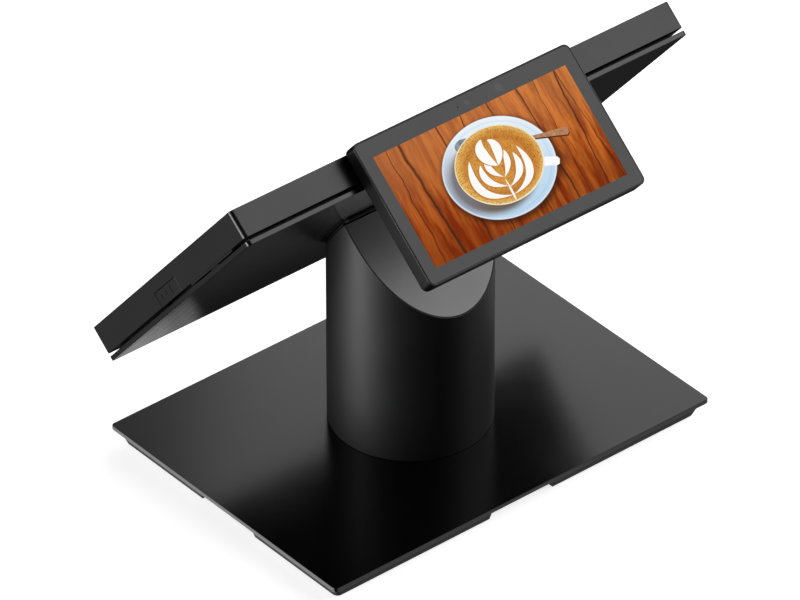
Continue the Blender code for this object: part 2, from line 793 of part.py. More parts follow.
def bent_groove(name, length, width, sag, place):
    """A cutter along Z that bows by sag towards -Y, sunk into the right side of the head."""
    bm = bmesh.new()
    bmesh.ops.create_cube(bm, size=1)
    bmesh.ops.subdivide_edges(bm, edges=[e for e in bm.edges if along(e, 2)], cuts=5)
    for vert in bm.verts:
        bow = sag * (1 - (2 * vert.co.z) ** 2)
        vert.co.x = SIDE - GRIP_DEPTH if vert.co.x < 0 else FAR
        vert.co.y = place[0] + vert.co.y * width - bow
        vert.co.z = place[1] + vert.co.z * length
    mesh = bpy.data.meshes.new(name)
    bm.to_mesh(mesh)
    bm.free()
    return new_object(name, mesh, cutter=True)


def make_side_port_cover(frame):
    """The flush cover of the side port, with three bent grip grooves. It pulls straight out."""
    cover = block(
        "side_port_cover",
        (SIDE - PORT_COVER_T, HEAD_TOP - PORT_BOTTOM + GAP, HOUSING_BACK),
        (SIDE, HEAD_TOP - PORT_TOP - GAP, HEAD_FRONT - PORT_DEPTH - GAP),
        axis=0,
        edge=0.2 * MM,
    )
    for i, length in enumerate(GRIP_LENGTHS):
        y = HEAD_TOP - GRIP_MIDDLE + (i - 1) * GRIP_PITCH
        place = (y, HOUSING_BACK + GRIP_HEIGHT)
        cut(cover, bent_groove(f"cut_groove_{i}", length, 0.6 * MM, 0.5 * MM, place))
    return finish(cover, frame, BLACK, 0.42)


def make_power_button(head_frame):
    """A round push button in the lower edge, with a flange that keeps it in, and the switch behind it."""
    inner_face = HEAD_BOTTOM + HEAD_WALL
    frame = make_frame("power_button_frame", (BUTTON_X, HEAD_BOTTOM, BUTTON_Z), head_frame)
    cap = cylinder("power_button", BUTTON_R, -0.3 * MM, HEAD_WALL + 1 * MM, (0, 0), 1, 28)
    low = HEAD_WALL + 0.4 * MM
    flange = cylinder("button_flange", BUTTON_R + 1 * MM, low, low + 1 * MM, (0, 0), 1, 28, cutter=True)
    join(cap, flange)
    finish(cap, frame, DARK, 0.35)
    switch_low = inner_face + 2.6 * MM
    half = 3 * MM
    switch = block(
        "power_switch",
        (BUTTON_X - half, switch_low, BUTTON_Z - half),
        (BUTTON_X + half, switch_low + 3 * MM, BUTTON_Z + half),
    )
    finish(switch, head_frame, STEEL, 0.4, 0.8)


# ---------------------------------------------------------------- customer display


def display_slab(name, inset, low, high, corner=0.0, edge=0.0, cutter=False):
    """A slab with the outline of the customer display, drawn in by an inset, in the display's own frame."""
    top = DISPLAY_TOP_Z - DISPLAY_AXIS_Z
    half = DISPLAY_W / 2
    return block(
        name,
        (-half + inset, low, top - DISPLAY_H + inset),
        (half - inset, high, top - inset),
        axis=1,
        corner=corner,
        edge=edge,
        cutter=cutter,
    )


def make_customer_display(frame):
    back = DISPLAY_BACK - DISPLAY_AXIS_Y
    front = back + DISPLAY_T
    glass_back = front - 1.1 * MM
    housing = display_slab("customer_housing", 0, back, front, DISPLAY_CORNER, 0.5 * MM)
    cut(
        housing,
        display_slab("cut_display_cavity", 2.4 * MM, back + 2 * MM, FAR, 2 * MM, cutter=True),
        display_slab("cut_display_rebate", DISPLAY_RIM, glass_back - GAP, FAR, 3.2 * MM, cutter=True),
    )
    finish(housing, frame, BLACK, 0.4)

    glass = display_slab("customer_glass", DISPLAY_RIM + GAP, glass_back, front, 2.9 * MM, 0.1 * MM)
    lens_z = DISPLAY_TOP_Z - DISPLAY_AXIS_Z - LENS_DROP
    hole_place = (MICROPHONE_X, lens_z)
    cut(glass, cylinder("cut_microphone", MICROPHONE_R, 0, FAR, hole_place, 1, 12, cutter=True))
    finish(glass, frame, GLASS, 0.12)
    for name, x, radius, depth in SENSORS:
        module_front = glass_back - 2 * GAP
        module = cylinder(name, radius, module_front - depth, module_front, (x, lens_z), 1, 24)
        finish(module, frame, GLASS, 0.1)

    panel_front = glass_back - 2 * GAP
    top = lens_z - 3.5 * MM
    low = (-76 * MM, panel_front - 3 * MM, top - 78 * MM)
    panel = block("customer_panel", low, (76 * MM, panel_front, top))
    finish(panel, frame, (0.02, 0.02, 0.03), 0.3)
    board_low = back + 2.6 * MM
    high = (60 * MM, board_low + 1.4 * MM, 15 * MM)
    board = block("customer_board", (-60 * MM, board_low, -45 * MM), high)
    finish(board, frame, BOARD, 0.5)


def make_display_hinge(frame):
    """The leaf on the back of the customer display, with the middle knuckle, and the pin through it."""
    end = DISPLAY_KNUCKLE_X[0]
    back = DISPLAY_BACK - DISPLAY_AXIS_Y - GAP
    leaf = block(
        "display_leaf",
        (-30 * MM, back - 1.8 * MM, -42 * MM),
        (30 * MM, back, 3 * MM),
        axis=1,
        corner=3 * MM,
        segments=3,
    )
    radius = DISPLAY_KNUCKLE_R
    join(
        leaf,
        box_cutter("leaf_web", (-end, 0, -radius), (end, back - 0.5 * MM, 0)),
        cylinder("leaf_knuckle", radius, -end, end, (0, 0), 0, 28, cutter=True),
    )
    cut(leaf, cylinder("cut_leaf_bore", DISPLAY_PIN_R + GAP, -FAR, FAR, (0, 0), 0, 20, cutter=True))
    finish(leaf, frame, DARK, 0.45, 0.5)
    reach = DISPLAY_KNUCKLE_X[2] - GAP
    pin = cylinder("display_pin", DISPLAY_PIN_R, -reach, reach, (0, 0), 0, 20)
    finish(pin, frame, STEEL, 0.25, 1.0)


# ---------------------------------------------------------------- assembly


def adopt_tools():
    """Gives each tool the parent of the piece that it shapes, so that both lie in one frame."""
    for _ in range(3):
        for obj in bpy.data.objects:
            for modifier in obj.modifiers:
                if modifier.type == "BOOLEAN" and modifier.object.parent is None:
                    modifier.object.parent = obj.parent


def main():
    clear_scene()
    make_collections()
    base = make_frame("base_frame", (0, STAND_Y, 0))
    column = make_frame("column_frame", (0, 0, 0), base)
    head = make_frame("head_frame", (0, 0, TILT_AXIS_Z), column, HEAD_TILT)
    display = make_frame("customer_display_frame", (0, DISPLAY_AXIS_Y, DISPLAY_AXIS_Z), head)

    make_base_plate(base)
    make_base_tray(base)
    make_feet(base)
    make_base_screws(base)
    nut_top = make_swivel(base)

    foot_top = make_column_foot(column, nut_top)
    make_mast(column, foot_top)
    make_hinge_bracket(column)
    make_tilt_pin(column)
    make_column_tube(column)
    make_roof_cover(column, "roof_cover_customer", 1)
    make_roof_cover(column, "roof_cover_operator", -1)

    make_head_housing(head)
    make_touch_glass(head)
    make_head_inside(head)
    make_port_block(head)
    make_rear_spacer(head)
    make_rear_cover(head)
    make_tilt_plate(head)
    make_display_bracket(head)
    make_side_port_cover(head)
    make_power_button(head)

    make_customer_display(display)
    make_display_hinge(display)
    adopt_tools()


main()
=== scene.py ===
"""Looks of a point-of-sale touchscreen terminal: black powder-coated steel and satin plastic, a lit
customer display, a pale floor and soft studio light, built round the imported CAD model. Metres, +Z up,
the operator at -Y and the customer at +Y."""

import math

import bmesh
import bpy
from mathutils import Matrix, Vector


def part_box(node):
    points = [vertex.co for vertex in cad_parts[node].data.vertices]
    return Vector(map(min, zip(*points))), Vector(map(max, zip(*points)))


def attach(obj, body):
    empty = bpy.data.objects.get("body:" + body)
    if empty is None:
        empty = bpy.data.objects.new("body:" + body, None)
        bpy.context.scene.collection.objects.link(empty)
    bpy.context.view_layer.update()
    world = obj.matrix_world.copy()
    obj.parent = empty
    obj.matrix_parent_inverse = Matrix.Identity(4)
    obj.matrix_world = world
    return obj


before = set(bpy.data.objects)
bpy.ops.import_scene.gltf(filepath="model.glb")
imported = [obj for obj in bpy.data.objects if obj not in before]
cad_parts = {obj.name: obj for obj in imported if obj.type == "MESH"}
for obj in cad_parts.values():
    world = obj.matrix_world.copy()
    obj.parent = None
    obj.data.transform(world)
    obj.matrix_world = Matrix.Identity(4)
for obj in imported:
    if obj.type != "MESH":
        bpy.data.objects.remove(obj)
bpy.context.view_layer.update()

MM = 0.001

# The camera's bearing and roll in degrees, and its distance from the middle of the top of the base plate.
# It then moves sideways by the first offset and upwards by the second, without turning. The lens and the
# sensor are in millimetres, as a camera gives them.
VIEW_AZIMUTH = 140.117
VIEW_ELEVATION = 35.971
VIEW_ROLL = -0.084
VIEW_DISTANCE = 5.5929
VIEW_OFFSET = (-6.28 * MM, 67.61 * MM)
LENS = 414.55
SENSOR_WIDTH = 36

# The head leans this far from level, and the customer display stands square to it.
FACE_TILT = math.radians(50)

# The lit area of the big screen ends this far inside the edges of its panel.
SCREEN_EDGE = 2 * MM

# Faces that meet at more than this are shaded with a sharp edge between them.
SHARP_ANGLE = math.radians(35)
WELD_DISTANCE = 0.01 * MM

FLOOR_RADIUS = 14.0
FLOOR_GLOW = 0.8


# ---------------------------------------------------------------- nodes and materials


def node(tree, kind, inputs=None, **settings):
    """Adds a node. An input is a value, or the output socket of another node."""
    made = tree.nodes.new(kind)
    for key, value in settings.items():
        setattr(made, key, value)
    for key, value in (inputs or {}).items():
        if isinstance(value, bpy.types.NodeSocket):
            tree.links.new(value, made.inputs[key])
        else:
            made.inputs[key].default_value = value
    return made


def calc(tree, operation, a, b=0.0, c=0.0):
    return node(tree, "ShaderNodeMath", {0: a, 1: b, 2: c}, operation=operation).outputs[0]


def mix(tree, factor, a, b):
    """Blends two colours, each a socket or three numbers."""
    made = tree.nodes.new("ShaderNodeMix")
    made.data_type = "RGBA"
    for key, value in ((0, factor), (6, a), (7, b)):
        if isinstance(value, bpy.types.NodeSocket):
            tree.links.new(value, made.inputs[key])
        elif key == 0:
            made.inputs[key].default_value = value
        else:
            made.inputs[key].default_value = (*value, 1)
    return made.outputs[2]


def span(tree, value, low, high, to_low=0.0, to_high=1.0, smooth=False):
    """Maps a value from one span to another and holds it at the ends."""
    made = node(
        tree,
        "ShaderNodeMapRange",
        {"Value": value, "From Min": low, "From Max": high, "To Min": to_low, "To Max": to_high},
        interpolation_type="SMOOTHSTEP" if smooth else "LINEAR",
    )
    return made.outputs["Result"]


def noise(tree, place, size, detail=2.0, roughness=0.5, stretch=None, distortion=0.0):
    """Noise between 0 and 1 whose blobs are about the given size, drawn out along the axes by stretch."""
    if stretch:
        place = node(
            tree, "ShaderNodeMapping", {"Vector": place, "Scale": [1 / s for s in stretch]}
        ).outputs[0]
    inputs = {"Vector": place, "Scale": 1 / size, "Detail": detail, "Roughness": roughness}
    made = node(tree, "ShaderNodeTexNoise", {**inputs, "Distortion": distortion})
    return made.outputs["Fac"]


def material(name):
    """A new material: returns it with its tree, its Principled shader and the object's own coordinates."""
    made = bpy.data.materials.new(name)
    made.use_nodes = True
    tree = made.node_tree
    surface = tree.nodes["Principled BSDF"]
    place = tree.nodes.new("ShaderNodeTexCoord").outputs["Object"]
    return made, tree, surface, place


def axes_of(tree, place):
    """The first two coordinates of a place."""
    split = node(tree, "ShaderNodeSeparateXYZ", {0: place})
    return split.outputs[0], split.outputs[1]


def bump(tree, surface, height, depth, under=None):
    """Lets a height between 0 and 1 raise the surface by up to depth, on top of an earlier bump."""
    inputs = {"Height": height, "Strength": 1.0, "Distance": depth}
    if under:
        inputs["Normal"] = under
    made = node(tree, "ShaderNodeBump", inputs)
    tree.links.new(made.outputs["Normal"], surface.inputs["Normal"])
    return made.outputs["Normal"]


def coated(name, colour, roughness, grain, grain_depth):
    """A satin coat or moulded plastic: fine orange-peel grain, with cloudy colour and gloss."""
    made, tree, surface, place = material(name)
    peel = noise(tree, place, grain, detail=3.0, roughness=0.65)
    cloud = noise(tree, place, 35 * MM, detail=4.0, roughness=0.6)
    bump(tree, surface, peel, grain_depth)
    dark = [c * 0.86 for c in colour]
    light = [c * 1.14 for c in colour]
    tree.links.new(mix(tree, cloud, dark, light), surface.inputs["Base Color"])
    gloss = span(tree, cloud, 0.25, 0.75, roughness - 0.02, roughness + 0.02)
    speck = span(tree, peel, 0.3, 0.7, -0.015, 0.015)
    tree.links.new(calc(tree, "ADD", gloss, speck), surface.inputs["Roughness"])
    return made


# ---------------------------------------------------------------- stage


def make_floor():
    """A pale round of paper under the feet, which no reflection, bounced light or shadow ray meets."""
    mesh = bpy.data.meshes.new("floor")
    bm = bmesh.new()
    bmesh.ops.create_circle(bm, cap_ends=True, radius=FLOOR_RADIUS, segments=96)
    bm.to_mesh(mesh)
    bm.free()
    floor = bpy.data.objects.new("floor", mesh)
    bpy.context.scene.collection.objects.link(floor)
    made, tree, surface, place = material("floor_paper")
    cloud = noise(tree, place, 0.4, detail=3.0)
    tree.links.new(mix(tree, cloud, (0.86, 0.86, 0.86), (0.88, 0.88, 0.88)), surface.inputs["Base Color"])
    surface.inputs["Roughness"].default_value = 0.9
    surface.inputs["Specular IOR Level"].default_value = 0.1
    surface.inputs["Emission Color"].default_value = (1, 1, 1, 1)
    surface.inputs["Emission Strength"].default_value = FLOOR_GLOW
    mesh.materials.append(made)
    floor.visible_glossy = False
    floor.visible_diffuse = False
    floor.visible_shadow = False


def direction(azimuth, elevation):
    """The way to a light or camera: azimuth 0 is towards the operator, 90 towards +X; both in degrees."""
    a = math.radians(azimuth)
    e = math.radians(elevation)
    return Vector((math.sin(a) * math.cos(e), -math.cos(a) * math.cos(e), math.sin(e)))


# The sky is black but for these soft patches: azimuth, elevation, strength and sharpness of each.
SKY_PATCHES = (
    # Low ones, for the sides and the undersides.
    (240, -60, 0.25, 18),
    (60, -25, 0.5, 14),
    (80, -25, 0.8, 14),
    (240, -25, 0.4, 18),
    (275, -25, 0.5, 18),
    # Level ones. The strong, narrow one draws an upright highlight down the column.
    (79, 0, 14.0, 35),
    (220, 5, 0.6, 18),
    # High ones, for the faces that look up.
    (50, 25, 0.8, 18),
    (245, 25, 1.4, 18),
    (290, 25, 1.8, 18),
    (310, 25, 0.4, 18),
    (230, 45, 2.5, 18),
)


def make_world():
    """Adds up the patches. Each falls off evenly all round its middle, faster the sharper it is."""
    world = bpy.data.worlds.new("studio")
    bpy.context.scene.world = world
    world.use_nodes = True
    tree = world.node_tree
    way = tree.nodes.new("ShaderNodeTexCoord").outputs["Generated"]
    total = 0.0
    for azimuth, elevation, strength, sharpness in SKY_PATCHES:
        inputs = {0: way, 1: direction(azimuth, elevation)}
        dot = node(tree, "ShaderNodeVectorMath", inputs, operation="DOT_PRODUCT").outputs["Value"]
        patch = calc(tree, "EXPONENT", calc(tree, "MULTIPLY_ADD", dot, sharpness, -sharpness))
        total = calc(tree, "MULTIPLY_ADD", patch, strength, total)
    back = tree.nodes["Background"]
    tree.links.new(total, back.inputs["Strength"])
    back.inputs["Color"].default_value = (1, 1, 1, 1)


# Soft boxes: where each stands in mm, where it points, its size in mm, its radiance, and the only nodes
# that it lights. A box that names none lights everything.
UPWARDS = (0, 0, 1)
SOFT_BOXES = (
    ("box_behind", (-560, -500, 426), (0.52, 0.62, -0.588), (520, 700), 0.75, ()),
    ("box_far_behind", (-611, -621, 426), (0.52, 0.62, -0.588), (400, 300), 0.5, ()),
    ("glow_on_roof", (-335, 480, 300), (0.558, -0.74, -0.3), (400, 400), 7.5, ("roof_cover_customer",)),
    ("glow_on_column", (577, -171, 100), (-0.961, 0.276, 0), (100, 500), 20.0, ("column_tube",)),
    ("glow_under_head_1", (113, -270, -30), UPWARDS, (74, 300), 0.5, ("rear_cover",)),
    ("glow_under_head_2", (106, -270, -30), UPWARDS, (88, 300), 0.5, ("rear_cover",)),
    ("glow_under_head_3", (97, -270, -30), UPWARDS, (106, 300), 0.4, ("rear_cover",)),
    ("glow_under_head_4", (86, -270, -30), UPWARDS, (128, 300), 0.25, ("rear_cover",)),
    ("glow_beside_base", (290, -90, -20), UPWARDS, (284, 400), 2.2, ("base_plate", "base_tray")),
    ("glow_before_base", (-50, 230, -20), UPWARDS, (400, 250), 0.5, ("base_plate", "base_tray")),
)


def make_soft_boxes():
    """Area lights that no camera sees. A collection holds the nodes that a linked one may light."""
    for name, place, aim, size, radiance, lit in SOFT_BOXES:
        lamp = bpy.data.lights.new(name, "AREA")
        lamp.shape = "RECTANGLE"
        lamp.size = size[0] * MM
        lamp.size_y = size[1] * MM
        lamp.energy = radiance * math.pi * lamp.size * lamp.size_y
        obj = bpy.data.objects.new(name, lamp)
        obj.location = Vector(place) * MM
        obj.rotation_mode = "QUATERNION"
        obj.rotation_quaternion = Vector(aim).to_track_quat("-Z", "Y")
        obj.visible_camera = False
        bpy.context.scene.collection.objects.link(obj)
        if lit:
            receivers = bpy.data.collections.new(f"{name}_lights")
            for lit_name in lit:
                receivers.objects.link(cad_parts[lit_name])
            obj.light_linking.receiver_collection = receivers


def make_camera():
    """A long lens from the customer's right, which looks down on the top of the base plate."""
    back = direction(VIEW_AZIMUTH, VIEW_ELEVATION)
    right = (-back).cross(Vector((0, 0, 1))).normalized()
    up = right.cross(-back)
    roll = Matrix.Rotation(math.radians(VIEW_ROLL), 3, back)
    low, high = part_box("base_plate")
    target = Vector(((low.x + high.x) / 2, (low.y + high.y) / 2, high.z))
    data = bpy.data.cameras.new("camera")
    data.lens = LENS
    data.sensor_width = SENSOR_WIDTH
    data.clip_start = 0.1
    data.clip_end = 100
    camera = bpy.data.objects.new("camera", data)
    camera.location = target + back * VIEW_DISTANCE + right * VIEW_OFFSET[0] + up * VIEW_OFFSET[1]
    turn = Matrix((right, up, back)).transposed()
    camera.rotation_mode = "QUATERNION"
    camera.rotation_quaternion = (roll @ turn).to_quaternion()
    bpy.context.scene.collection.objects.link(camera)
    bpy.context.scene.camera = camera


# ---------------------------------------------------------------- looks of the CAD nodes


def corners_of(obj):
    return [v.co for v in obj.data.vertices]


def dress(made, *names):
    """Gives CAD nodes a material in every slot."""
    for name in names:
        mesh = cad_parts[name].data
        if not mesh.materials:
            mesh.materials.append(made)
        for i in range(len(mesh.materials)):
            mesh.materials[i] = made


def smooth_nodes():
    """Shades each CAD node smooth, except along its sharp edges, and keeps its large faces flat."""
    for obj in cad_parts.values():
        mesh = obj.data
        if "custom_normal" in mesh.attributes:
            mesh.attributes.remove(mesh.attributes["custom_normal"])
        mesh.polygons.foreach_set("use_smooth", [True] * len(mesh.polygons))
        weld = obj.modifiers.new("weld", "WELD")
        weld.merge_threshold = WELD_DISTANCE
        split = obj.modifiers.new("sharp_edges", "EDGE_SPLIT")
        split.split_angle = SHARP_ANGLE
        split.use_edge_sharp = False
        flat = obj.modifiers.new("flat_faces", "WEIGHTED_NORMAL")
        flat.weight = 100


def streaked_cover(name, colour):
    """The black skin under the head, with fine brush lines that run up its face."""
    made, tree, surface, place = material(name)
    lines = noise(tree, place, 1.3 * MM, 3.0, 0.7, stretch=(1, 900, 900))
    wide = noise(tree, place, 9 * MM, 2.0, 0.5, stretch=(1, 300, 300))
    peel = noise(tree, place, 0.4 * MM, 3.0, 0.65)
    under = bump(tree, surface, peel, 0.0006 * MM)
    bump(tree, surface, lines, 0.0008 * MM, under=under)
    both = calc(tree, "MULTIPLY_ADD", lines, 0.5, calc(tree, "MULTIPLY", wide, 0.5))
    tree.links.new(span(tree, both, 0.35, 0.65, 0.14, 0.23), surface.inputs["Roughness"])
    shade = mix(tree, wide, [c * 0.8 for c in colour], [c * 1.3 for c in colour])
    tree.links.new(shade, surface.inputs["Base Color"])
    return made


def metal(name, colour, roughness, stretch=(1, 1, 12), size=0.5 * MM):
    """Bare metal with fine drawn lines, faint stains and a slightly uneven gloss."""
    made, tree, surface, place = material(name)
    lines = noise(tree, place, size, 3.0, 0.65, stretch=stretch)
    stain = noise(tree, place, 14 * MM, 4.0, 0.6)
    bump(tree, surface, lines, 0.008 * MM)
    gloss = span(tree, lines, 0.3, 0.7, roughness - 0.07, roughness + 0.07)
    dull = span(tree, stain, 0.4, 0.7, 0.0, 0.08)
    tree.links.new(calc(tree, "ADD", gloss, dull), surface.inputs["Roughness"])
    shade = mix(tree, stain, [c * 0.82 for c in colour], colour)
    tree.links.new(shade, surface.inputs["Base Color"])
    surface.inputs["Metallic"].default_value = 1.0
    return made


def circuit_board(name):
    """Green solder mask over copper tracks, with rows of tinned pads."""
    made, tree, surface, place = material(name)
    grid = {"Vector": place, "Scale": 1 / (5 * MM)}
    cells = node(tree, "ShaderNodeTexVoronoi", grid, distance="MANHATTAN")
    track = span(tree, cells.outputs["Distance"], 0.55, 0.6)
    rows = {"Vector": place, "Scale": 1 / (2.2 * MM), "Randomness": 0.15}
    pads = node(tree, "ShaderNodeTexVoronoi", rows)
    pad = span(tree, pads.outputs["Distance"], 0.2, 0.16)
    weave = noise(tree, place, 0.3 * MM, 2.0)
    mask = mix(tree, track, (0.006, 0.05, 0.02), (0.012, 0.1, 0.035))
    tree.links.new(mix(tree, pad, mask, (0.5, 0.48, 0.42)), surface.inputs["Base Color"])
    tree.links.new(pad, surface.inputs["Metallic"])
    tree.links.new(span(tree, weave, 0.3, 0.7, 0.28, 0.42), surface.inputs["Roughness"])
    height = calc(tree, "ADD", calc(tree, "MULTIPLY", track, 0.5), pad)
    bump(tree, surface, height, 0.04 * MM)
    return made


def front_glass(name):
    """Black glass with a printed border and, behind it, the dark screen, a little lighter than the border.
    """
    made, tree, surface, place = material(name)
    up = (0, math.cos(FACE_TILT), math.sin(FACE_TILT))
    dot = node(tree, "ShaderNodeVectorMath", {0: place, 1: up}, operation="DOT_PRODUCT")
    height = dot.outputs["Value"]
    heights = [c.dot(Vector(up)) for c in corners_of(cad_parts["display_panel"])]
    middle = (min(heights) + max(heights)) / 2
    half_h = (max(heights) - min(heights)) / 2 - SCREEN_EDGE
    low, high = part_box("display_panel")
    half_w = (high.x - low.x) / 2 - SCREEN_EDGE
    across = calc(tree, "ABSOLUTE", axes_of(tree, place)[0])
    along = calc(tree, "ABSOLUTE", calc(tree, "SUBTRACT", height, middle))
    inside_x = calc(tree, "LESS_THAN", across, half_w)
    inside = calc(tree, "MULTIPLY", inside_x, calc(tree, "LESS_THAN", along, half_h))
    smear = noise(tree, place, 40 * MM, 4.0, 0.6, distortion=1.5)
    shade = mix(tree, inside, (0.002, 0.002, 0.002), (0.0065, 0.007, 0.0085))
    tree.links.new(shade, surface.inputs["Base Color"])
    tree.links.new(span(tree, smear, 0.35, 0.75, 0.04, 0.1), surface.inputs["Roughness"])
    bump(tree, surface, noise(tree, place, 60 * MM), 0.01 * MM)
    return made


def dress_nodes():
    black = (0.0042, 0.0042, 0.0044)
    # Black of the spacer in the recess between the head and its rear cover, painted darker than the head's
    # black as shade in the gap.
    spacer_black_with_shade = (0.003, 0.003, 0.003)
    steel = (0.52, 0.52, 0.53)
    deep = (0.0018, 0.0018, 0.0019)
    dress(coated("plate_coat", deep, 0.19, 0.5 * MM, 0.003 * MM), "base_plate")
    dress(coated("column_coat", deep, 0.46, 0.5 * MM, 0.02 * MM), "column_tube")
    roof = coated("roof_coat", black, 0.42, 0.5 * MM, 0.02 * MM)
    dress(roof, "roof_cover_customer", "roof_cover_operator")
    head = coated("head_coat", black, 0.3, 0.4 * MM, 0.006 * MM)
    dress(head, "head_housing", "side_port_cover", "power_button")
    dress(coated("display_coat", black, 0.3, 0.4 * MM, 0.006 * MM), "customer_housing")
    dress(streaked_cover("cover_coat", black), "rear_cover")
    dress(coated("tray_plastic", black, 0.35, 0.4 * MM, 0.008 * MM), "base_tray")
    # The rear spacer is black plastic, painted a little darker than the head as shade in the recess.
    dress(coated("gap_black_with_painted_shade", spacer_black_with_shade, 0.7, 0.4 * MM, 0.01 * MM), "rear_spacer")
    dress(coated("display_front", black, 0.3, 0.3 * MM, 0.002 * MM), "customer_glass")
    dress(front_glass("touch_front"), "touch_glass")
    rubber = coated("foot_rubber", (0.012, 0.012, 0.012), 0.75, 0.7 * MM, 0.05 * MM)
    dress(rubber, "foot_left_front", "foot_left_rear", "foot_right_front", "foot_right_rear")
    screw = metal("screw_steel", steel, 0.3, (1, 1, 1), 0.25 * MM)
    dress(screw, *[f"base_screw_{i}" for i in (1, 2, 3, 4)], "bracket_screw_left", "bracket_screw_right")
    turned = metal("turned_steel", steel, 0.24, (12, 12, 1), 0.3 * MM)
    dress(turned, "spindle_nut", "swivel_washer", "column_foot")
    dress(metal("ground_steel", steel, 0.2, (1, 12, 12), 0.3 * MM), "display_pin")
    dress(metal("drawn_steel", steel, 0.36, (1, 1, 20)), "column_mast")
    dress(metal("port_steel", steel, 0.3), "port_block")
    bracket = coated("bracket_coat", (0.006, 0.006, 0.006), 0.45, 0.5 * MM, 0.02 * MM)
    dress(bracket, "display_bracket", "display_leaf", "hinge_bracket", "tilt_plate")
    dress(bracket, "tilt_pin", "tilt_washer_left", "tilt_washer_right")
    dress(metal("cast_aluminium", (0.62, 0.63, 0.65), 0.42, (1, 1, 1), 0.8 * MM), "middle_frame")
    dress(metal("drawn_aluminium", (0.66, 0.67, 0.69), 0.34, (1, 20, 20)), "heat_sink")
    dress(coated("bush_plastic", (0.55, 0.55, 0.52), 0.4, 0.5 * MM, 0.01 * MM), "swivel_bush")
    dress(circuit_board("board_green"), "main_board", "customer_board")
    moulded = coated("moulded_black", (0.01, 0.01, 0.01), 0.5, 0.3 * MM, 0.02 * MM)
    dress(moulded, "speaker_left", "speaker_right", "storage_drive", "power_switch")
    panel = coated("panel_dark", (0.008, 0.008, 0.01), 0.22, 0.2 * MM, 0.004 * MM)
    dress(panel, "display_panel", "customer_panel")
    lens = coated("lens_dark", (0.004, 0.004, 0.006), 0.08, 0.3 * MM, 0.001 * MM)
    dress(lens, "customer_camera", "light_sensor")


# ---------------------------------------------------------------- pieces on the customer display


# The picture's own frame: X to the viewer's right, Y up the screen, Z out of it.
PICTURE_W = 147.7 * MM
PICTURE_H = 74.7 * MM
LAYER = 0.02 * MM

# Saucer and cup, as half-widths and middles of ellipses in that frame.
SAUCER = (39.7 * MM, 31.0 * MM, -1.5 * MM, -0.6 * MM)
CUP = (31.0 * MM, 24.0 * MM, -0.6 * MM, 1.0 * MM)
CUP_RIM = 0.75 * MM

# Dark lines between the planks: where each crosses the middle, how it leans and how wide it is.
GRAIN_LINES = (
    (-53.0 * MM, -0.05, 1.9 * MM),
    (-65.0 * MM, 0.02, 0.5 * MM),
    (-28.0 * MM, 0.06, 0.9 * MM),
    (-11.0 * MM, 0.08, 0.7 * MM),
    (14.0 * MM, -0.05, 0.6 * MM),
    (36.5 * MM, -0.02, 0.9 * MM),
    (62.0 * MM, 0.06, 0.9 * MM),
    (68.5 * MM, -0.10, 0.45 * MM),
    (47.0 * MM, 0.03, 0.35 * MM),
)

# Leaves of the milk pattern, in mm, from the outermost in: start on the stem, bend, tip and width. Each
# leaf lies on a brown one that is wider by the edge.
LEAVES = (
    ((-2.3, -18.5), (-30.0, -13.5), (-18.0, 10.5), 5.6),
    ((-2.0, -18.5), (23.5, -15.5), (15.8, 7.0), 5.2),
    ((-2.5, -12.5), (-18.5, -6.5), (-12.6, 5.6), 4.8),
    ((-1.8, -13.5), (14.5, -9.0), (11.4, 4.4), 4.8),
    ((-2.3, -6.5), (-11.0, 0.0), (-7.6, 7.6), 4.2),
    ((-1.8, -7.0), (7.0, -1.0), (6.4, 8.4), 4.2),
)
LEAF_EDGE = 2.4
HEART = (
    ((-1.9, 1.0), (-12.5, 12.0), (-3.4, 19.2), 7.6),
    ((-1.6, 1.0), (7.0, 12.0), (0.0, 17.4), 6.4),
)
HEART_EDGE = 1.6
HEART_FULLNESS = 0.95
STEM = ((-2.6, -22.0), (-2.0, -16.0), (-2.1, -8.0), 1.3)
STEM_FULLNESS = 0.7

# Outlines of the spoon's handle and of the cup's, in mm.
SPOON = ((28, 8.3), (40, 6.2), (52.3, 4.4), (53.6, 3.4), (53.0, 0.6), (51.4, -0.5), (40, 3.0), (28, 6.6))
CUP_HANDLE = ((24, -7.0), (30, -6.6), (37.3, -9.6), (37.9, -11.4), (36.3, -14.0), (34.6, -14.2), (24, -10.5))
SPOON_BOWL = (6.5 * MM, 4.2 * MM, -15.6 * MM, 20.2 * MM)
SPOON_SHADE_DROP = 0.9

# How many layers above the glass each thing in the picture lies. The leaves take the layers from there up.
TABLE_AT, SAUCER_AT, SPOON_SHADE_AT, SPOON_AT, CUP_AT, COFFEE_AT, LEAVES_AT = range(1, 8)

# Clear rounds in the print of the glass: the name of each, the node behind it, and its radius.
WINDOWS = (
    ("camera_window", "customer_camera", 1.7 * MM),
    ("sensor_window", "light_sensor", 2.6 * MM),
)


def screen_frame():
    """Stands on the front of the glass, in the middle of the picture."""
    up = Vector((0, -math.sin(FACE_TILT), math.cos(FACE_TILT)))
    out = Vector((0, math.cos(FACE_TILT), math.sin(FACE_TILT)))
    turn = Matrix((Vector((-1, 0, 0)), up, out)).transposed().to_4x4()
    front = max(c.dot(out) for c in corners_of(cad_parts["customer_glass"]))
    heights = [c.dot(up) for c in corners_of(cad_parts["customer_panel"])]
    middle = (min(heights) + max(heights)) / 2
    return Matrix.Translation(up * middle + out * front) @ turn


def srgb(r, g, b):
    """A colour given the way a paint program does, 0 to 255."""
    return tuple(((c / 255 + 0.055) / 1.055) ** 2.4 if c > 10 else c / 3294 for c in (r, g, b))


def glowing(name):
    """A lit patch of a screen: black glass that gives off the colour that is linked to it."""
    made, tree, surface, place = material(name)
    surface.inputs["Base Color"].default_value = (0.004, 0.004, 0.004, 1)
    surface.inputs["Roughness"].default_value = 0.4
    surface.inputs["Specular IOR Level"].default_value = 0.0
    surface.inputs["Emission Strength"].default_value = 1.0
    return made, tree, surface, place


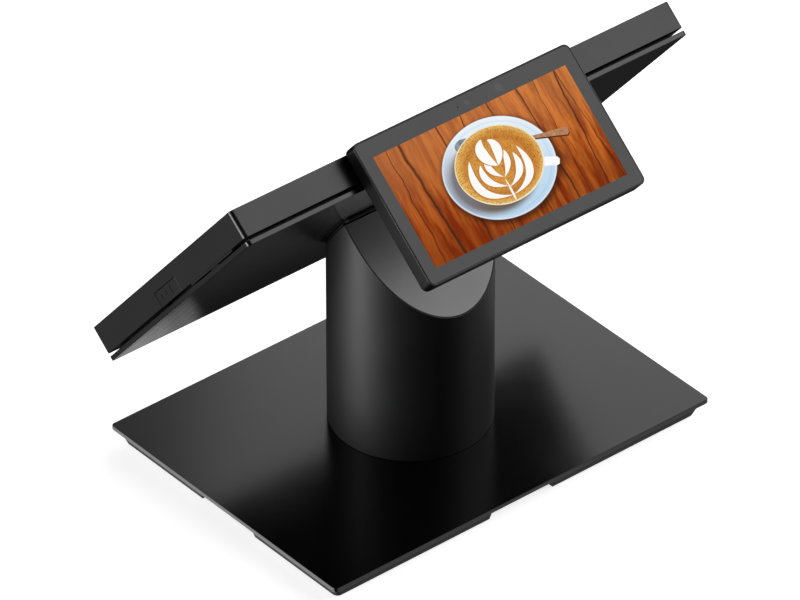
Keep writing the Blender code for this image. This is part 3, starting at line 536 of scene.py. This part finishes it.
def ellipse_distance(tree, place, half_w, half_h, x, y):
    """1 on the ellipse, less inside it and more outside."""
    kind = "ShaderNodeVectorMath"
    moved = node(tree, kind, {0: place, 1: (x, y, 0)}, operation="SUBTRACT").outputs[0]
    scale = (1 / half_w, 1 / half_h, 0)
    flat = node(tree, kind, {0: moved, 1: scale}, operation="MULTIPLY").outputs[0]
    return node(tree, kind, {0: flat}, operation="LENGTH").outputs["Value"]


def wood_look():
    """Varnished planks with an upright grain, darker to the left and below, shaded round the saucer."""
    made, tree, surface, place = glowing("picture_wood")
    across, up = axes_of(tree, place)
    wander = noise(tree, place, 16 * MM, detail=3.0, stretch=(1.6, 1.0, 1.0))
    bent = calc(tree, "MULTIPLY_ADD", wander, 4 * MM, calc(tree, "SUBTRACT", across, 2 * MM))
    grained = node(tree, "ShaderNodeCombineXYZ", {0: bent, 1: up, 2: 0.0}).outputs[0]
    broad = noise(tree, grained, 6 * MM, detail=4.0, roughness=0.65, stretch=(1.0, 9.0, 1.0))
    fine = noise(tree, grained, 0.9 * MM, detail=4.0, roughness=0.7, stretch=(1.0, 18.0, 1.0))
    colour = mix(tree, span(tree, broad, 0.36, 0.64, smooth=True), srgb(136, 50, 12), srgb(220, 122, 46))
    colour = mix(tree, span(tree, fine, 0.35, 0.75, 0.0, 0.5), colour, srgb(122, 52, 22))
    stain = noise(tree, grained, 13 * MM, detail=2.0, stretch=(1.0, 2.5, 1.0))
    colour = mix(tree, span(tree, stain, 0.56, 0.72, 0.0, 0.55, smooth=True), colour, srgb(92, 44, 26))
    sides = span(tree, across, -PICTURE_W / 2, PICTURE_W / 5, 0.45, 0.0)
    colour = mix(tree, sides, colour, srgb(124, 34, 6))
    haze = span(tree, up, -PICTURE_H / 5, PICTURE_H / 2, 0.0, 0.34, smooth=True)
    colour = mix(tree, haze, colour, srgb(220, 146, 88))
    depth = span(tree, up, -PICTURE_H / 2, 0.0, 0.5, 0.0, smooth=True)
    colour = mix(tree, depth, colour, srgb(104, 30, 2))
    for line, lean, width in GRAIN_LINES:
        drift = calc(tree, "MULTIPLY_ADD", up, lean, line)
        away = calc(tree, "ABSOLUTE", calc(tree, "SUBTRACT", bent, drift))
        ragged = calc(tree, "MULTIPLY_ADD", fine, 0.8 * width, away)
        dark = span(tree, ragged, 0.35 * width, 1.5 * width, 0.9, 0.0, smooth=True)
        colour = mix(tree, dark, colour, srgb(52, 28, 22))
    shade = ellipse_distance(tree, place, SAUCER[0], SAUCER[1], SAUCER[2] + 0.6 * MM, SAUCER[3] - 1.6 * MM)
    colour = mix(tree, span(tree, shade, 0.98, 1.12, 0.75, 0.0, smooth=True), colour, srgb(46, 22, 14))
    tree.links.new(colour, surface.inputs["Emission Color"])
    return made


def china_look():
    """Pale blue glaze, with the cup's shadow to the left and a bright well edge."""
    made, tree, surface, place = glowing("picture_china")
    across, up = axes_of(tree, place)
    height = span(tree, up, -SAUCER[1], SAUCER[1], smooth=True)
    colour = mix(tree, height, srgb(184, 214, 238), srgb(232, 242, 249))
    cloud = noise(tree, place, 14 * MM, detail=2.0)
    colour = mix(tree, span(tree, cloud, 0.35, 0.7, 0.0, 0.35), colour, srgb(206, 226, 241))
    shadow = ellipse_distance(tree, place, CUP[0], CUP[1], CUP[2] - 7.0 * MM, CUP[3] - 3.5 * MM)
    colour = mix(tree, span(tree, shadow, 0.86, 1.1, 0.95, 0.0, smooth=True), colour, srgb(104, 86, 72))
    left = span(tree, across, -SAUCER[0], -SAUCER[0] * 0.45, 0.5, 0.0, smooth=True)
    colour = mix(tree, left, colour, srgb(136, 142, 158))
    round_it = ellipse_distance(tree, place, *SAUCER)
    lip = span(tree, round_it, 0.955, 0.985, 0.0, 0.55, smooth=True)
    colour = mix(tree, lip, colour, srgb(246, 250, 253))
    colour = mix(tree, span(tree, round_it, 0.985, 1.0, 0.0, 0.6), colour, srgb(132, 150, 168))
    well = calc(tree, "ABSOLUTE", calc(tree, "SUBTRACT", round_it, 0.90))
    colour = mix(tree, span(tree, well, 0.0, 0.02, 0.25, 0.0), colour, srgb(150, 172, 192))
    tree.links.new(colour, surface.inputs["Emission Color"])
    return made


def plain_glow(name, low, high, size=6 * MM):
    """A lit patch whose colour wanders between two."""
    made, tree, surface, place = glowing(name)
    cloud = noise(tree, place, size, detail=3.0)
    tree.links.new(mix(tree, span(tree, cloud, 0.3, 0.7), low, high), surface.inputs["Emission Color"])
    return made


def coffee_look():
    """Crema: mottled browns with fine dark bubbles, paler at the rim of the cup."""
    made, tree, surface, place = glowing("picture_coffee")
    across = axes_of(tree, place)[0]
    round_it = ellipse_distance(tree, place, *CUP)
    cloud = noise(tree, place, 5 * MM, detail=4.0, roughness=0.6)
    side = span(tree, across, -CUP[0], CUP[0])
    colour = mix(tree, side, srgb(228, 176, 88), srgb(214, 146, 64))
    colour = mix(tree, span(tree, cloud, 0.35, 0.65, 0.0, 0.6), colour, srgb(196, 122, 44))
    ring = calc(tree, "ABSOLUTE", calc(tree, "SUBTRACT", round_it, 0.72))
    colour = mix(tree, span(tree, ring, 0.0, 0.14, 0.55, 0.0, smooth=True), colour, srgb(184, 108, 38))
    colour = mix(tree, span(tree, round_it, 0.84, 0.96, 0.0, 0.7, smooth=True), colour, srgb(236, 196, 110))
    bubbles = noise(tree, place, 0.8 * MM, detail=2.0, roughness=0.6)
    patches = span(tree, noise(tree, place, 4 * MM, detail=2.0), 0.4, 0.6)
    share = calc(tree, "MULTIPLY_ADD", patches, 0.45, 0.5)
    speck = calc(tree, "MULTIPLY", span(tree, bubbles, 0.52, 0.64), share)
    colour = mix(tree, speck, colour, srgb(134, 70, 26))
    tree.links.new(colour, surface.inputs["Emission Color"])
    return made


def layer(name, outline, depth, made):
    """A thin patch of the picture, from its outline, at a number of layers above the glass."""
    bm = bmesh.new()
    low = [bm.verts.new((x, y, 0)) for x, y in outline]
    face = bm.faces.new(low)
    bmesh.ops.triangulate(bm, faces=[face])
    top = bmesh.ops.extrude_face_region(bm, geom=bm.faces[:])
    moved = [g for g in top["geom"] if isinstance(g, bmesh.types.BMVert)]
    bmesh.ops.translate(bm, vec=(0, 0, LAYER * depth), verts=moved)
    bmesh.ops.recalc_face_normals(bm, faces=bm.faces)
    mesh = bpy.data.meshes.new(name)
    bm.to_mesh(mesh)
    bm.free()
    mesh.materials.append(made)
    obj = bpy.data.objects.new(name, mesh)
    bpy.context.scene.collection.objects.link(obj)
    obj.matrix_world = screen_frame()
    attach(obj, "customer_display")


def oval(half_w, half_h, x, y, steps=96):
    turns = [2 * math.pi * i / steps for i in range(steps)]
    return [(x + half_w * math.cos(t), y + half_h * math.sin(t)) for t in turns]


def petal(start, bend, tip, width, fullness=1.3, steps=20):
    """A leaf along a bent midline: pointed at both ends, and widest past its middle if full. All in mm."""
    left = []
    right = []
    for i in range(steps + 1):
        t = i / steps
        a, b, c = (1 - t) ** 2, 2 * t * (1 - t), t * t
        x = a * start[0] + b * bend[0] + c * tip[0]
        y = a * start[1] + b * bend[1] + c * tip[1]
        dx = 2 * (1 - t) * (bend[0] - start[0]) + 2 * t * (tip[0] - bend[0])
        dy = 2 * (1 - t) * (bend[1] - start[1]) + 2 * t * (tip[1] - bend[1])
        long = math.hypot(dx, dy)
        half = width / 2 * math.sin(math.pi * t**fullness) ** 0.8 if 0 < t < 1 else 0.0
        left.append((x - dy / long * half, y + dx / long * half))
        right.append((x + dy / long * half, y - dx / long * half))
    return [(x * MM, y * MM) for x, y in left + right[-2:0:-1]]


def make_windows():
    """The clear rounds in the print of the glass, over the camera and over the light sensor."""
    for name, behind, radius in WINDOWS:
        corners = corners_of(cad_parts[behind])
        middle = screen_frame().inverted() @ (sum(corners, Vector()) / len(corners))
        clear = coated(f"{name}_glass", (0.011, 0.0115, 0.0125), 0.24, 0.3 * MM, 0.002 * MM)
        layer(name, oval(radius, radius, middle.x, middle.y, steps=48), TABLE_AT, clear)


def make_picture():
    """A cup of milk coffee on a saucer on a wooden table, which the customer display shows."""
    half_w = PICTURE_W / 2
    half_h = PICTURE_H / 2
    frame_outline = [(-half_w, -half_h), (half_w, -half_h), (half_w, half_h), (-half_w, half_h)]
    layer("picture_table", frame_outline, TABLE_AT, wood_look())
    layer("picture_saucer", oval(*SAUCER), SAUCER_AT, china_look())
    steel = plain_glow("picture_steel", srgb(196, 150, 112), srgb(160, 106, 74), 2 * MM)
    grey = plain_glow("picture_spoon_bowl", srgb(104, 108, 114), srgb(150, 160, 172), 3 * MM)
    white = plain_glow("picture_white", srgb(246, 250, 253), srgb(253, 254, 255))
    rim = plain_glow("picture_rim", srgb(232, 214, 176), srgb(248, 238, 214), 9 * MM)
    milk = plain_glow("picture_milk", srgb(250, 248, 242), srgb(254, 254, 254), 4 * MM)
    brown = plain_glow("picture_brown", srgb(206, 136, 58), srgb(188, 112, 38), 3 * MM)
    shade = plain_glow("picture_shade", srgb(74, 40, 28), srgb(92, 52, 34), 5 * MM)
    layer("picture_spoon_bowl", oval(*SPOON_BOWL, steps=40), SPOON_SHADE_AT, grey)
    shade_outline = [(x * MM, (y - SPOON_SHADE_DROP) * MM) for x, y in SPOON]
    layer("picture_spoon_shade", shade_outline, SPOON_SHADE_AT, shade)
    layer("picture_spoon", [(x * MM, y * MM) for x, y in SPOON], SPOON_AT, steel)
    layer("picture_handle", [(x * MM, y * MM) for x, y in CUP_HANDLE], SPOON_AT, white)
    layer("picture_cup", oval(*CUP), CUP_AT, rim)
    nudge = CUP_RIM / 5
    inner = (CUP[0] - CUP_RIM, CUP[1] - CUP_RIM, CUP[2] - nudge, CUP[3] + nudge)
    layer("picture_coffee", oval(*inner), COFFEE_AT, coffee_look())
    for i, (*line, width) in enumerate(LEAVES):
        at = LEAVES_AT + 2 * i
        layer(f"picture_leaf_edge_{i + 1}", petal(*line, width + LEAF_EDGE), at, brown)
        layer(f"picture_leaf_{i + 1}", petal(*line, width), at + 1, milk)
    top = LEAVES_AT + 2 * len(LEAVES)
    for i, (*line, width) in enumerate(HEART):
        layer(f"picture_heart_edge_{i + 1}", petal(*line, width + HEART_EDGE, HEART_FULLNESS), top, brown)
    for i, (*line, width) in enumerate(HEART):
        layer(f"picture_heart_{i + 1}", petal(*line, width, HEART_FULLNESS), top + 1, milk)
    layer("picture_stem", petal(*STEM, STEM_FULLNESS), top + 1, milk)


make_floor()
make_world()
make_soft_boxes()
make_camera()
smooth_nodes()
dress_nodes()
make_windows()
make_picture()
bpy.context.scene.view_settings.view_transform = "Standard"
